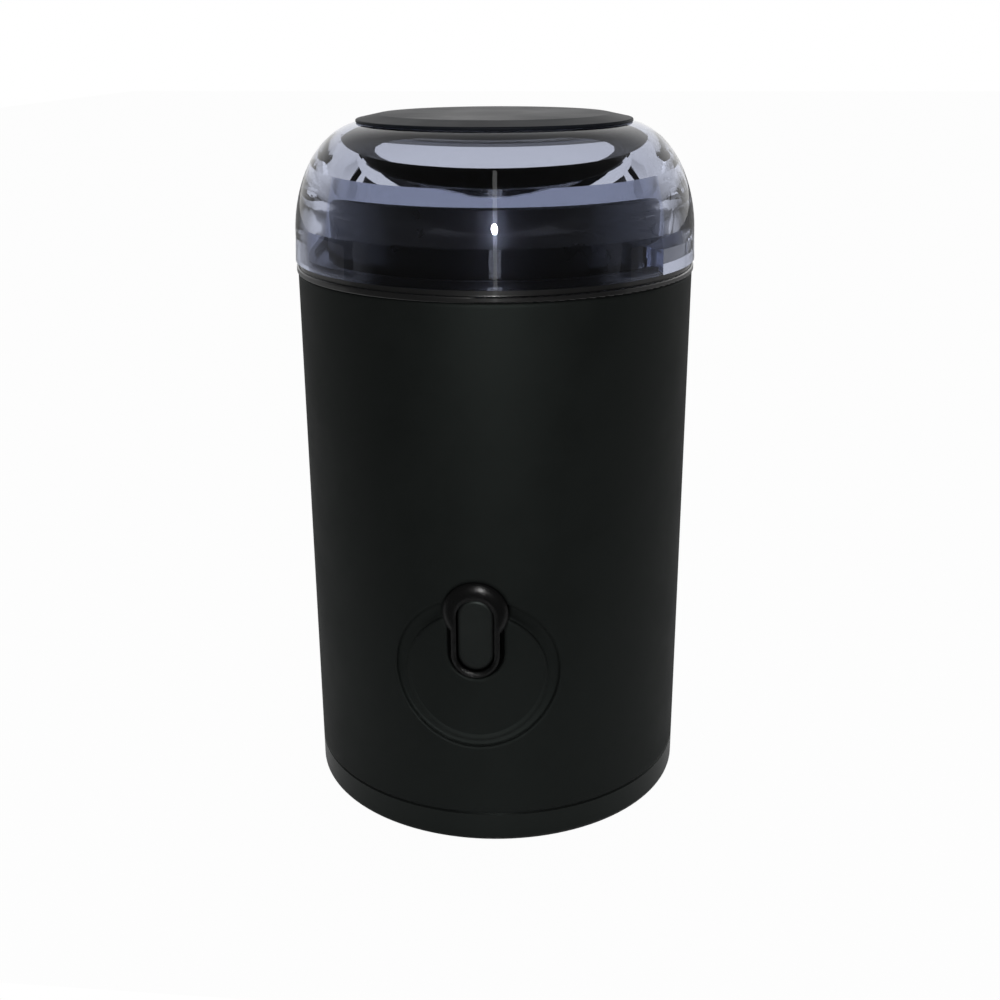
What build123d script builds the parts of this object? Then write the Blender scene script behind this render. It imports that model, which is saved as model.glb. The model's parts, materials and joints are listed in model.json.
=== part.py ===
from build123d import *
from math import acos, degrees, radians, sin, sqrt
import os

os.makedirs("parts", exist_ok=True)

# Electric blade coffee grinder, in millimetres.
# Z is the common axis of body, bowl and motor, the feet stand on z = 0 and the button faces -Y.

# Clearances
slide_gap = 0.3  # a moving piece and what it passes
fit_gap = 0.1  # fixed pieces that slip together
run_gap = 0.05  # shafts in bearings and screws in holes
seat_gap = 0.05  # the lid on its collar, the cap on its seat
cut_over = 2.0  # overrun of every cut

# Feet
foot_height = 1.0
foot_sunk = 1.2
foot_radius = 4.8
foot_circle_share = 0.7  # of the radius of the body
foot_count = 4
foot_start_angle = 45

# Base cover
base_height = 7.6
base_floor = 2.4
base_round = 1.2
spigot_rise = 4.0
spigot_wall = 2.0
seam_chamfer = 0.35
vent_width = 2.6
vent_length_share = 0.64  # of the radius of the body
vent_pitch_share = 0.128  # of the radius of the body
vent_count = 5

# Base screws and the posts they bite
screw_count = 3
screw_start_angle = 60
base_screw_inset = 5.1  # from the inside of the body
base_boss_radius = 4.6
base_post_radius = 3.5
base_post_length = 12.0
base_post_rib = 3.0
base_head_radius = 2.9
base_head_height = 2.0
base_head_depth = 4.0
base_shank_radius = 1.45
base_shank_length = 16.0
cross_width = 0.8
cross_depth = 1.0

# Body shell
body_radius = 47.0
body_wall = 2.4
body_length = 123.2

# Ring groove and disc on the lower front
groove_rise_share = 0.302  # centre of the groove above the lower edge of the body, of its length
groove_radius = 19.1
groove_depth = 1.0
disc_radius = 16.4
disc_drop = 0.9

# Start button and its bezel
pill_rise = 9.9  # centre of the button above the centre of the groove
pill_width = 8.84
pill_height = 18.06
bezel_rim = 1.15
bezel_proud = 1.2
bezel_gap = 1.0  # shadow gap round the lower end of the bezel
bezel_plate_margin_x = 4.58
bezel_plate_margin_z = 6.47
bezel_plate_round = 4.0
bezel_plate_back = 2.4  # from the inside of the body to the back of the plate
hood_radius = 7.5
hood_rise = 5.5  # centre of the hood above the centre of the button
hood_slope_angle = 50
stop_depth = 1.4  # from the inside of the body to the step that stops the button
button_proud = 0.35
button_round = 0.6
button_flange = 1.2
button_stem_radius = 1.5
button_stem_length = 1.9
sleeve_wall = 1.4
button_coil_radius = 3.2
button_wire_radius = 0.3
button_coil_turns = 4

# Start switch and its bracket
bracket_depth_share = 0.1724  # from the inside of the body to the front of the bracket, of its radius
bracket_plate = 2.0
bracket_width = 17.0
bracket_margin = 4.0  # from the screws to the ends of the bracket
bracket_round = 3.0
bracket_boss_gap = 2.8  # between the bosses and the plate of the bezel
bracket_boss_radius = 3.2
bracket_head_radius = 2.6
bracket_head_height = 2.0
bracket_shank_radius = 1.3
bracket_shank_end = 0.6  # left in front of the tip of the screw
cheek_thick = 2.0
cheek_height = 18.0
pin_radius = 0.9
switch_width = 6.4
switch_depth_share = 0.2021  # of the radius of the body
switch_height = 20.0
switch_pin_rise = 5.0
actuator_radius = 1.4
actuator_proud = 0.8  # tip of the actuator beyond the front of the bracket, short of the pressed stem
tab_width = 4.0
tab_thick = 0.8
tab_length = 5.0

# Cord gland
gland_rise = 10.5  # above the lower edge of the body
gland_radius = 6.2
gland_neck_radius = 4.4
gland_bore = 3.0
gland_proud = 1.25
gland_inner = 2.4
gland_round = 0.6

# Bowl housing: collar, neck and floor
collar_height = 2.7
collar_proud = 0.3
collar_step_height = 1.2
collar_step = 0.7
collar_round = 0.4
neck_height = 15.7
collar_ledge = 7.3  # from the rim of the collar to the neck
neck_wall = 2.2
neck_round = 0.5
skirt_length = 6.0
skirt_wall = 1.25
skirt_notch_angle = 9
rib_height = 1.5
rib_wall = 1.5
rib_gap_angle = 1.5
floor_thick = 2.5
floor_hole = 7.0
floor_drop_share = 0.4156  # from the top of the neck to the top of the floor, of the length of the body
housing_screw_inset = 2.4  # from the inside of the body
housing_post_radius = 2.1
housing_post_length = 9.0
housing_lug_width = 6.0
housing_lug_thick = 3.2
housing_head_radius = 1.9
housing_head_height = 1.6
housing_shank_radius = 1.15
housing_shank_length = 10.0

# Grinding bowl and shaft seal
sheet = 0.6
bowl_gap = 0.6  # between bowl and neck
bowl_corner = 9.0
bowl_flange = 1.7
bowl_hole = 6.0
bowl_lip = 4.4
seal_lip = 0.8
seal_flange = 1.2

# Lid
lid_proud = 0.15
lid_wall = 2.4
lid_straight = 5.45
dome_inset = 0.25
dome_reach = 17.2
dome_rise = 25.5
lid_skirt = 8.2
shoulder_inset = 1.55  # from the neck's outside
shoulder_rise = 3.2  # over the neck's top
ceiling_overhang = 1.1  # beyond the centre of the dome's curve
top_plate = 7.95
recess_depth = 1.75
tongue_height = 5.2
tongue_half_angle = 31
tongue_reach = 4.6

# Lid cap
cap_overhang = 2.2  # beyond the centre of the dome's curve
cap_lip = 3.85
cap_edge = 0.75
cap_bevel_rise = 1.1
cap_bevel_reach = 5.2
cap_crown = 0.25
cap_round = 0.35

# Lid interlock
rod_inset = 5.0  # from the rim of the collar
rod_radius = 1.2
rod_collar_radius = 2.0
rod_collar_thick = 1.0
rod_collar_drop = 6.5  # from the top of the collar moulding to the top of the rod's collar
rod_travel = 2.5
rod_foot_width = 4.0
rod_foot_thick = 2.0
rod_foot_reach = 5.5
rod_foot_toe = 1.2
guide_drop = 19.5  # from the top of the collar moulding to the top of the guide
guide_thick = 3.0
guide_width = 6.0
rod_coil_radius = 1.7
rod_wire_radius = 0.2
rod_coil_turns = 9
lid_switch_length = 12.6
lid_switch_width = 5.8
lid_switch_height = 6.5
lid_switch_tip_radius = 1.2
lid_switch_tip_height = 1.0
lid_switch_tip_place = 4.1  # from the outer end of the switch
lid_switch_inset = 1.0  # from the inside of the body
lid_switch_pin_place = 2.5
lid_plate_thick = 2.0

# Motor, from the floor of the bowl housing down
motor_front_gap = 2.0  # between the start switch and the stator
mount_height = 4.0
mount_radius = 4.0
mount_hole = 1.8
mount_count = 4
mount_post_length = 5.0
mount_shank_radius = 1.5
mount_head_radius = 3.0
mount_head_height = 2.2
mount_bite = 4.0
motor_plate = 3.0
bolt_radius = 1.9
bolt_head_radius = 3.4
bolt_head_height = 2.5
nut_radius = 3.6
nut_height = 3.0

# Motor sizes across, as shares of the depth of the stator
stator_width_share = 1.2174
stator_round_share = 0.13
stator_bore_share = 0.311
stator_slot_share = 0.4565
plate_width_share = 1.174
plate_depth_share = 0.9565
plate_round_share = 0.152
mount_circle_share = 0.3913
bolt_x_share = 0.489
bolt_y_share = 0.3804
leg_share = 0.0913
coil_inner_share = 0.326
coil_outer_share = 0.4457
bearing_share = 0.1304
cup_share = 0.1957
window_inner_share = 0.239
window_outer_share = 0.3043
shaft_share = 0.0652
winding_share = 0.2696
winding_core_share = 0.1087
winding_round_share = 0.0435
commutator_share = 0.1957
armature_slot_share = 0.1087
fan_share = 0.4783
fan_hub_share = 0.1522
washer_share = 0.1174
stator_slot_angle = 33
coil_inner_angle = 6
coil_outer_angle = 30
window_angle = 62

# Motor heights, as shares of the room between the floor of the bowl and the base
upper_leg_share = 0.1772
stator_height_share = 0.2363
lower_leg_share = 0.247
coil_overhang_share = 0.0644
winding_overhang_share = 0.0698
cup_height_share = 0.0859
cup_rise_share = 0.0376  # of the cup beyond its plate, toward the bowl on top and the armature below
bearing_height_share = 0.0752
brush_rise_share = 0.0967  # centre of the brushes above the lower plate
commutator_height_share = 0.1074
commutator_drop_share = 0.0215  # from the lower windings to the commutator
fan_rise_share = 0.0806  # from the top of the stator to the fan's disc
fan_blade_share = 0.0408

# Brushes
brush_length = 9.8
brush_width = 6.0
brush_height = 5.0
holder_wall = 1.5
holder_length = 16.0
holder_start = 1.2  # from the commutator to the holder
pedestal_length = 10.0
pedestal_width = 7.0
brush_coil_radius = 1.8
brush_wire_radius = 0.25
brush_coil_turns = 6

# Rotor
shaft_foot = 0.5  # of the shaft below the lower cup
air_gap = 0.5  # between armature and stator
armature_slot_count = 12
armature_slot_width = 1.8
commutator_riser = 1.0
commutator_riser_height = 1.5
commutator_slot_width = 0.5
commutator_slot_depth = 0.5
fan_disc = 1.2
fan_blade_thick = 1.2
fan_blade_count = 9
washer_thick = 0.5

# Blade
blade_rise = 6.3  # from the bottom of the bowl to the blade
blade_tip_gap = 5.6  # from the tips to the wall of the bowl
blade_thick = 1.2
blade_width = 11.0
blade_tip_width = 7.0
blade_bend = 12.0  # where the wings leave the flat middle
blade_lift = 3.0
blade_nut_radius = 5.0
blade_nut_height = 4.5
blade_nut_round = 1.5

# Heights worked out from these sizes
base_bottom = foot_height
body_bottom = base_bottom + base_height
body_top = body_bottom + body_length
collar_top = body_top + collar_height
neck_top = collar_top + neck_height
floor_top = neck_top - body_length * floor_drop_share
floor_bottom = floor_top - floor_thick
base_floor_top = base_bottom + base_floor
spigot_top = body_bottom + spigot_rise
post_bottom = spigot_top + slide_gap
head_seat = base_bottom + base_head_depth
groove_z = body_bottom + body_length * groove_rise_share
pill_z = groove_z + pill_rise
hood_z = pill_z + hood_rise
gland_z = body_bottom + gland_rise
lid_bottom = collar_top + seat_gap
dome_base = lid_bottom + lid_straight
motor_room = floor_bottom - base_floor_top
upper_leg_length = motor_room * upper_leg_share
stator_height = motor_room * stator_height_share
lower_leg_length = motor_room * lower_leg_share
coil_overhang = motor_room * coil_overhang_share
winding_overhang = motor_room * winding_overhang_share
cup_height = motor_room * cup_height_share
cup_rise = motor_room * cup_rise_share
bearing_height = motor_room * bearing_height_share
commutator_height = motor_room * commutator_height_share
fan_blade_height = motor_room * fan_blade_share
mount_top = floor_bottom - mount_post_length
plate_top = mount_top - mount_height
plate_bottom = plate_top - motor_plate
stator_top = plate_bottom - upper_leg_length
stator_bottom = stator_top - stator_height
lower_plate_top = stator_bottom - lower_leg_length
lower_plate_bottom = lower_plate_top - motor_plate
upper_cup_top = plate_top + cup_rise
lower_cup_top = lower_plate_top + cup_rise - slide_gap
lower_cup_bottom = lower_cup_top - cup_height
brush_z = lower_plate_top + motor_room * brush_rise_share
commutator_top = stator_bottom - winding_overhang - motor_room * commutator_drop_share
commutator_bottom = commutator_top - commutator_height
fan_bottom = stator_top + motor_room * fan_rise_share
blade_bottom = floor_top + blade_rise

# Radii and depths worked out from these sizes
body_inner = body_radius - body_wall
spigot_radius = body_inner - fit_gap
foot_circle = body_radius * foot_circle_share
base_screw_circle = body_inner - base_screw_inset
housing_screw_circle = body_inner - housing_screw_inset
collar_radius = body_radius + collar_proud
neck_radius = collar_radius - collar_ledge
bowl_radius = neck_radius - neck_wall - bowl_gap
bowl_inner = bowl_radius - sheet
blade_reach = bowl_inner - blade_tip_gap
rod_circle = collar_radius - rod_inset
lid_radius = collar_radius + lid_proud
dome_base_radius = lid_radius - dome_inset
dome_centre_radius = dome_base_radius - dome_reach
cap_radius = dome_centre_radius + cap_overhang
cap_plug_radius = cap_radius - cap_lip
cap_flat_radius = cap_radius - cap_bevel_reach
bezel_plate_width = pill_width + 2 * bezel_plate_margin_x
bezel_plate_height = pill_height + 2 * bezel_plate_margin_z
bracket_screw_rise = bezel_plate_height / 2 + bracket_boss_radius + bracket_boss_gap
bracket_height = 2 * (bracket_screw_rise + bracket_margin)
bezel_width = pill_width + 2 * bezel_rim
bezel_height = pill_height + 2 * bezel_rim
bezel_back = body_inner - bezel_plate_back
stop_face = body_inner - stop_depth
bracket_depth = body_radius * bracket_depth_share
switch_depth = body_radius * switch_depth_share
bracket_front = body_inner - bracket_depth
bracket_back = bracket_front - bracket_plate
stator_depth = 2 * (bracket_back - switch_depth - motor_front_gap)
stator_width = stator_depth * stator_width_share
stator_bore = stator_depth * stator_bore_share
motor_plate_width = stator_depth * plate_width_share
motor_plate_depth = stator_depth * plate_depth_share
motor_plate_round = stator_depth * plate_round_share
mount_circle = stator_depth * mount_circle_share
bolt_place_x = stator_depth * bolt_x_share
bolt_place_y = stator_depth * bolt_y_share
leg_radius = stator_depth * leg_share
coil_inner = stator_depth * coil_inner_share
coil_outer = stator_depth * coil_outer_share
bearing_radius = stator_depth * bearing_share
cup_radius = stator_depth * cup_share
window_inner = stator_depth * window_inner_share
window_outer = stator_depth * window_outer_share
shaft_radius = stator_depth * shaft_share
armature_radius = stator_bore - air_gap
armature_slot_depth = stator_depth * armature_slot_share
winding_radius = stator_depth * winding_share
winding_core = stator_depth * winding_core_share
winding_round = stator_depth * winding_round_share
commutator_radius = stator_depth * commutator_share
fan_radius = stator_depth * fan_share
fan_hub_radius = stator_depth * fan_hub_share
washer_radius = stator_depth * washer_share
button_width = pill_width - 2 * slide_gap
button_height = pill_height - 2 * slide_gap
flange_width = button_width + 2 * button_flange
flange_height = button_height + 2 * button_flange
sleeve_bore_width = flange_width + 2 * slide_gap
sleeve_bore_height = flange_height + 2 * slide_gap
flange_front = stop_face - fit_gap
flange_back = flange_front - button_flange
lid_inner = lid_radius - lid_wall
seat_angle = degrees(acos((cap_radius + fit_gap - dome_centre_radius) / dome_reach))
seat_top = dome_base + dome_rise * sin(radians(seat_angle))
cap_bottom = seat_top + seat_gap
ceiling = seat_top - recess_depth - top_plate
ceiling_radius = dome_centre_radius + ceiling_overhang
rod_top = collar_top - seat_gap
rod_foot_top = floor_bottom - rod_travel - slide_gap
rod_foot_bottom = rod_foot_top - rod_foot_thick
lid_switch_top = rod_foot_bottom - fit_gap - lid_switch_tip_height
lid_switch_bottom = lid_switch_top - lid_switch_height
lid_switch_end = body_inner - lid_switch_inset
lid_switch_start = lid_switch_end - lid_switch_length

# Alignments: standing on a height, lying outward from a radius
upright = (Align.CENTER, Align.CENTER, Align.MIN)
outward = (Align.MIN, Align.CENTER, Align.MIN)


def profile(*corners):
    """Half section through corners given as (radius, height)."""
    with BuildSketch(Plane.XZ) as section:
        with BuildLine():
            Polyline(*corners, close=True)
        make_face()
    return section.sketch


def ring(inner, outer, bottom, top):
    """Half section of a plain ring."""
    return profile((inner, bottom), (outer, bottom), (outer, top), (inner, top))


def circles(height, radius, circle, count, start_angle):
    """Equal circles spaced round the axis at a height."""
    with BuildSketch(Plane.XY.offset(height)) as pattern:
        with PolarLocations(circle, count, start_angle):
            Circle(radius)
    return pattern.sketch


def circles_at(height, radius, places):
    """Equal circles at listed places, at a height."""
    with BuildSketch(Plane.XY.offset(height)) as pattern:
        with Locations(*places):
            Circle(radius)
    return pattern.sketch


def sector(height, inner, outer, start, end):
    """Part of a flat ring between two angles, at a height."""
    with BuildSketch(Plane.XY.offset(height)) as piece:
        with BuildLine():
            rim = CenterArc((0, 0), outer, start, end - start)
            core = CenterArc((0, 0), inner, start, end - start)
            Line(rim @ 0, core @ 0)
            Line(rim @ 1, core @ 1)
        make_face()
    return piece.sketch


def front_pill(depth, width, height):
    """Upright pill round the button's centre, on a plane that far in front of the axis."""
    with BuildSketch(Plane.XZ.offset(depth)) as pill:
        with Locations((0, pill_z)):
            SlotOverall(height, width, rotation=90)
    return pill.sketch


def front_circle(depth, radius, height):
    """Circle on the middle line of the front, on a plane that far in front of the axis."""
    with BuildSketch(Plane.XZ.offset(depth)) as spot:
        with Locations((0, height)):
            Circle(radius)
    return spot.sketch


def rear_circle(depth, radius):
    """Circle round the cord inlet, on a plane that far behind the axis."""
    with BuildSketch(Plane.XZ.offset(-depth)) as spot:
        with Locations((0, gland_z)):
            Circle(radius)
    return spot.sketch


def coil(start, direction, length, radius, wire_radius, turns):
    """Compression spring from a point along a direction, its wire inside the length."""
    height = length - 2 * wire_radius
    first_turn = Vector(start) + Vector(direction) * wire_radius
    with BuildPart() as spring:
        with BuildLine():
            path = Helix(height / turns, height, radius, center=first_turn, direction=direction)
        with BuildSketch(Plane(origin=path @ 0, z_dir=path % 0)):
            Circle(wire_radius)
        sweep(path=path, is_frenet=True)
    return spring.part


# Base cover
boss_inner_height = spigot_top - base_floor_top
with BuildPart() as base_cover:
    revolve(
        profile(
            (0, base_bottom),
            (body_radius, base_bottom),
            (body_radius, body_bottom),
            (spigot_radius, body_bottom),
            (spigot_radius, spigot_top),
            (spigot_radius - spigot_wall, spigot_top),
            (spigot_radius - spigot_wall, base_floor_top),
            (0, base_floor_top),
        ),
        axis=Axis.Z,
    )
    rims = base_cover.edges().filter_by(GeomType.CIRCLE).group_by(SortBy.RADIUS)[-1].sort_by(Axis.Z)
    fillet(rims[0], radius=base_round)
    rims = base_cover.edges().filter_by(GeomType.CIRCLE).group_by(SortBy.RADIUS)[-1].sort_by(Axis.Z)
    chamfer(rims[-1], length=seam_chamfer)
    extrude(
        circles(base_floor_top, base_boss_radius, base_screw_circle, screw_count, screw_start_angle),
        amount=boss_inner_height,
    )
    extrude(
        circles(base_bottom, base_head_radius + slide_gap, base_screw_circle, screw_count, screw_start_angle),
        amount=base_head_depth,
        mode=Mode.SUBTRACT,
    )
    extrude(
        circles(base_bottom, base_shank_radius + fit_gap, base_screw_circle, screw_count, screw_start_angle),
        amount=spigot_top - base_bottom + cut_over,
        mode=Mode.SUBTRACT,
    )
    extrude(
        circles(base_bottom, foot_radius + fit_gap, foot_circle, foot_count, foot_start_angle),
        amount=foot_sunk,
        mode=Mode.SUBTRACT,
    )
    with BuildSketch(Plane.XY.offset(base_bottom)):
        with GridLocations(0, body_radius * vent_pitch_share, 1, vent_count):
            SlotOverall(body_radius * vent_length_share, vent_width)
    extrude(amount=base_floor + cut_over, mode=Mode.SUBTRACT)
base_cover.part.label = "base_cover"
export_step(base_cover.part, "parts/base_cover.step")

# Rubber feet
with BuildPart() as rubber_feet:
    extrude(
        circles(0, foot_radius, foot_circle, foot_count, foot_start_angle),
        amount=foot_height + foot_sunk,
    )
rubber_feet.part.label = "rubber_feet"
export_step(rubber_feet.part, "parts/rubber_feet.step")

# Base screws
with BuildPart() as base_screws:
    extrude(
        circles(
            head_seat - base_head_height, base_head_radius, base_screw_circle, screw_count, screw_start_angle
        ),
        amount=base_head_height,
    )
    extrude(
        circles(head_seat, base_shank_radius, base_screw_circle, screw_count, screw_start_angle),
        amount=base_shank_length,
    )
    with BuildSketch(Plane.XY.offset(head_seat - base_head_height)):
        with PolarLocations(base_screw_circle, screw_count, screw_start_angle):
            Rectangle(base_head_radius, cross_width)
            Rectangle(cross_width, base_head_radius)
    extrude(amount=cross_depth, mode=Mode.SUBTRACT)
base_screws.part.label = "base_screws"
export_step(base_screws.part, "parts/base_screws.step")

# Body shell
lug_top = body_top - housing_post_length
lug_bottom = lug_top - housing_lug_thick
with BuildPart() as body_shell:
    revolve(ring(body_inner, body_radius, body_bottom, body_top), axis=Axis.Z)
    rims = body_shell.edges().filter_by(GeomType.CIRCLE).group_by(SortBy.RADIUS)[-1]
    chamfer(rims, length=seam_chamfer)
    # Posts for the base screws, each on a rib from the wall
    extrude(
        circles(post_bottom, base_post_radius, base_screw_circle, screw_count, screw_start_angle),
        amount=base_post_length,
    )
    with Locations((0, 0, post_bottom)):
        with PolarLocations(base_screw_circle, screw_count, screw_start_angle):
            Box(
                body_inner + body_wall / 2 - base_screw_circle, base_post_rib, base_post_length, align=outward
            )
    extrude(
        circles(post_bottom, base_shank_radius + run_gap, base_screw_circle, screw_count, screw_start_angle),
        amount=base_post_length - base_post_rib,
        mode=Mode.SUBTRACT,
    )
    # Lugs for the screws of the bowl housing
    lug_start = neck_radius + slide_gap
    with Locations((0, 0, lug_bottom)):
        with PolarLocations(lug_start, screw_count, screw_start_angle):
            Box(body_inner + body_wall / 2 - lug_start, housing_lug_width, housing_lug_thick, align=outward)
    extrude(
        circles(
            lug_bottom, housing_shank_radius + fit_gap, housing_screw_circle, screw_count, screw_start_angle
        ),
        amount=housing_lug_thick,
        mode=Mode.SUBTRACT,
    )
    # Bosses for the screws of the switch bracket
    boss_places = [(0, pill_z - bracket_screw_rise), (0, pill_z + bracket_screw_rise)]
    with BuildSketch(Plane.XZ.offset(bracket_front)):
        with Locations(*boss_places):
            Circle(bracket_boss_radius)
    extrude(amount=body_inner + body_wall / 2 - bracket_front)
    with BuildSketch(Plane.XZ.offset(bracket_front)):
        with Locations(*boss_places):
            Circle(bracket_shank_radius + run_gap)
    extrude(amount=bracket_depth - bracket_shank_end + run_gap, mode=Mode.SUBTRACT)
    # Opening for the bezel, tight round the hood and wider round its lower end
    extrude(
        front_pill(
            bracket_front + bracket_depth / 2, bezel_width + 2 * bezel_gap, bezel_height + 2 * bezel_gap
        ),
        amount=body_radius,
        mode=Mode.SUBTRACT,
    )
    extrude(
        front_circle(bracket_front + bracket_depth / 2, hood_radius + fit_gap, hood_z),
        amount=body_radius,
        mode=Mode.SUBTRACT,
    )
    # Hole for the cord gland
    extrude(
        rear_circle(body_inner - body_wall, gland_neck_radius + fit_gap),
        amount=-body_radius,
        mode=Mode.SUBTRACT,
    )

# Ring groove, cut as deep as its depth under the surface of the body
with BuildPart() as groove_tool:
    with BuildSketch(Plane.XZ):
        with Locations((0, groove_z)):
            Circle(groove_radius)
        with Locations((0, groove_z - disc_drop)):
            Circle(disc_radius, mode=Mode.SUBTRACT)
    extrude(amount=body_radius + cut_over)
    with Locations((0, 0, body_bottom)):
        Cylinder(body_radius - groove_depth, body_length, align=upright, mode=Mode.SUBTRACT)
body_shell.part -= groove_tool.part
body_shell.part.label = "body_shell"
export_step(body_shell.part, "parts/body_shell.step")

# Cord gland: a flange on each side of the wall, joined by a neck in its hole
gland_face = body_radius + gland_proud
gland_seat = sqrt(body_inner**2 - gland_radius**2) - run_gap
with BuildPart() as cord_gland:
    extrude(rear_circle(body_inner, gland_radius), amount=-(gland_face - body_inner))
    fillet(cord_gland.edges().group_by(Axis.Y)[-1], radius=gland_round)
    with Locations((0, 0, body_bottom)):
        Cylinder(body_radius + run_gap, body_length, align=upright, mode=Mode.SUBTRACT)
    extrude(rear_circle(gland_seat - gland_inner, gland_radius), amount=-gland_inner)
    extrude(rear_circle(gland_seat, gland_neck_radius), amount=-(gland_face - gland_seat))
    extrude(
        rear_circle(gland_seat - gland_inner, gland_bore),
        amount=-(gland_face - gland_seat + gland_inner),
        mode=Mode.SUBTRACT,
    )
cord_gland.part.label = "cord_gland"
export_step(cord_gland.part, "parts/cord_gland.step")

# Button bezel: plate and sleeve behind the wall, rim and hood in front
with BuildPart() as button_bezel:
    with BuildSketch(Plane.XZ.offset(bezel_back)):
        with Locations((0, pill_z)):
            RectangleRounded(bezel_plate_width, bezel_plate_height, bezel_plate_round)
    extrude(amount=bezel_plate_back)
    with Locations((0, 0, body_bottom)):
        Cylinder(body_inner - fit_gap, body_length, align=upright, mode=Mode.INTERSECT)
    extrude(
        front_pill(bracket_front, sleeve_bore_width + 2 * sleeve_wall, sleeve_bore_height + 2 * sleeve_wall),
        amount=bezel_back - bracket_front,
    )
    extrude(front_circle(bezel_back, hood_radius, hood_z), amount=body_radius - bezel_back)
    extrude(front_circle(body_radius, hood_radius, hood_z), amount=bezel_proud, taper=hood_slope_angle)
    extrude(front_pill(bezel_back, bezel_width, bezel_height), amount=body_radius + bezel_proud - bezel_back)
    with Locations((0, 0, body_bottom)):
        Cylinder(body_radius + bezel_proud, body_length, align=upright, mode=Mode.INTERSECT)
    extrude(front_pill(bracket_front, pill_width, pill_height), amount=body_radius, mode=Mode.SUBTRACT)
    extrude(
        front_pill(bracket_front, sleeve_bore_width, sleeve_bore_height),
        amount=stop_face - bracket_front,
        mode=Mode.SUBTRACT,
    )
button_bezel.part.label = "button_bezel"
export_step(button_bezel.part, "parts/button_bezel.step")

# Start button
with BuildPart() as start_button:
    extrude(front_pill(flange_back, button_width, button_height), amount=body_radius)
    with Locations((0, 0, body_bottom)):
        Cylinder(body_radius + button_proud, body_length, align=upright, mode=Mode.INTERSECT)
    fillet(start_button.faces().sort_by(Axis.Y)[0].edges(), radius=button_round)
    extrude(front_pill(flange_back, flange_width, flange_height), amount=button_flange)
    extrude(front_circle(flange_back, button_stem_radius, pill_z), amount=-button_stem_length)
start_button.part.label = "start_button"
export_step(start_button.part, "parts/start_button.step")

# Button spring, round the stem between the bracket and the button
button_spring = coil(
    (0, -bracket_front - run_gap, pill_z),
    (0, -1, 0),
    flange_back - bracket_front - 2 * run_gap,
    button_coil_radius,
    button_wire_radius,
    button_coil_turns,
)
button_spring.label = "button_spring"
export_step(button_spring, "parts/button_spring.step")

# Switch bracket, with a cheek and two pins for the switch
pin_places = [(-bracket_back + switch_depth / 2, pill_z + side * switch_pin_rise) for side in (-1, 1)]
with BuildPart() as switch_bracket:
    with BuildSketch(Plane.XZ.offset(bracket_back)):
        with Locations((0, pill_z)):
            RectangleRounded(bracket_width, bracket_height, bracket_round)
            Circle(actuator_radius + slide_gap, mode=Mode.SUBTRACT)
        with Locations(*boss_places):
            Circle(bracket_shank_radius + fit_gap, mode=Mode.SUBTRACT)
    extrude(amount=bracket_plate)
    with Locations((switch_width / 2, -bracket_back, pill_z)):
        Box(cheek_thick, switch_depth, cheek_height, align=(Align.MIN, Align.MIN, Align.CENTER))
    with BuildSketch(Plane.YZ.offset(switch_width / 2)):
        with Locations(*pin_places):
            Circle(pin_radius)
    extrude(amount=-switch_width)
switch_bracket.part.label = "switch_bracket"
export_step(switch_bracket.part, "parts/switch_bracket.step")

# Bracket screws
with BuildPart() as bracket_screws:
    with BuildSketch(Plane.XZ.offset(bracket_back)):
        with Locations(*boss_places):
            Circle(bracket_head_radius)
    extrude(amount=-bracket_head_height)
    with BuildSketch(Plane.XZ.offset(bracket_back)):
        with Locations(*boss_places):
            Circle(bracket_shank_radius)
    extrude(amount=body_inner - bracket_shank_end - bracket_back)
bracket_screws.part.label = "bracket_screws"
export_step(bracket_screws.part, "parts/bracket_screws.step")

# Start switch, its tip in the hole of the bracket
with BuildPart() as start_switch:
    with Locations((0, -bracket_back, pill_z)):
        Box(switch_width, switch_depth, switch_height, align=(Align.CENTER, Align.MIN, Align.CENTER))
    extrude(front_circle(bracket_back, actuator_radius, pill_z), amount=bracket_plate + actuator_proud)
    with Locations((0, -bracket_back + switch_depth / 2, pill_z)):
        Box(tab_thick, tab_width, switch_height + 2 * tab_length)
    with BuildSketch(Plane.YZ.offset(switch_width / 2)):
        with Locations(*pin_places):
            Circle(pin_radius + run_gap)
    extrude(amount=-switch_width, mode=Mode.SUBTRACT)
start_switch.part.label = "start_switch"
export_step(start_switch.part, "parts/start_switch.step")

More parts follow.
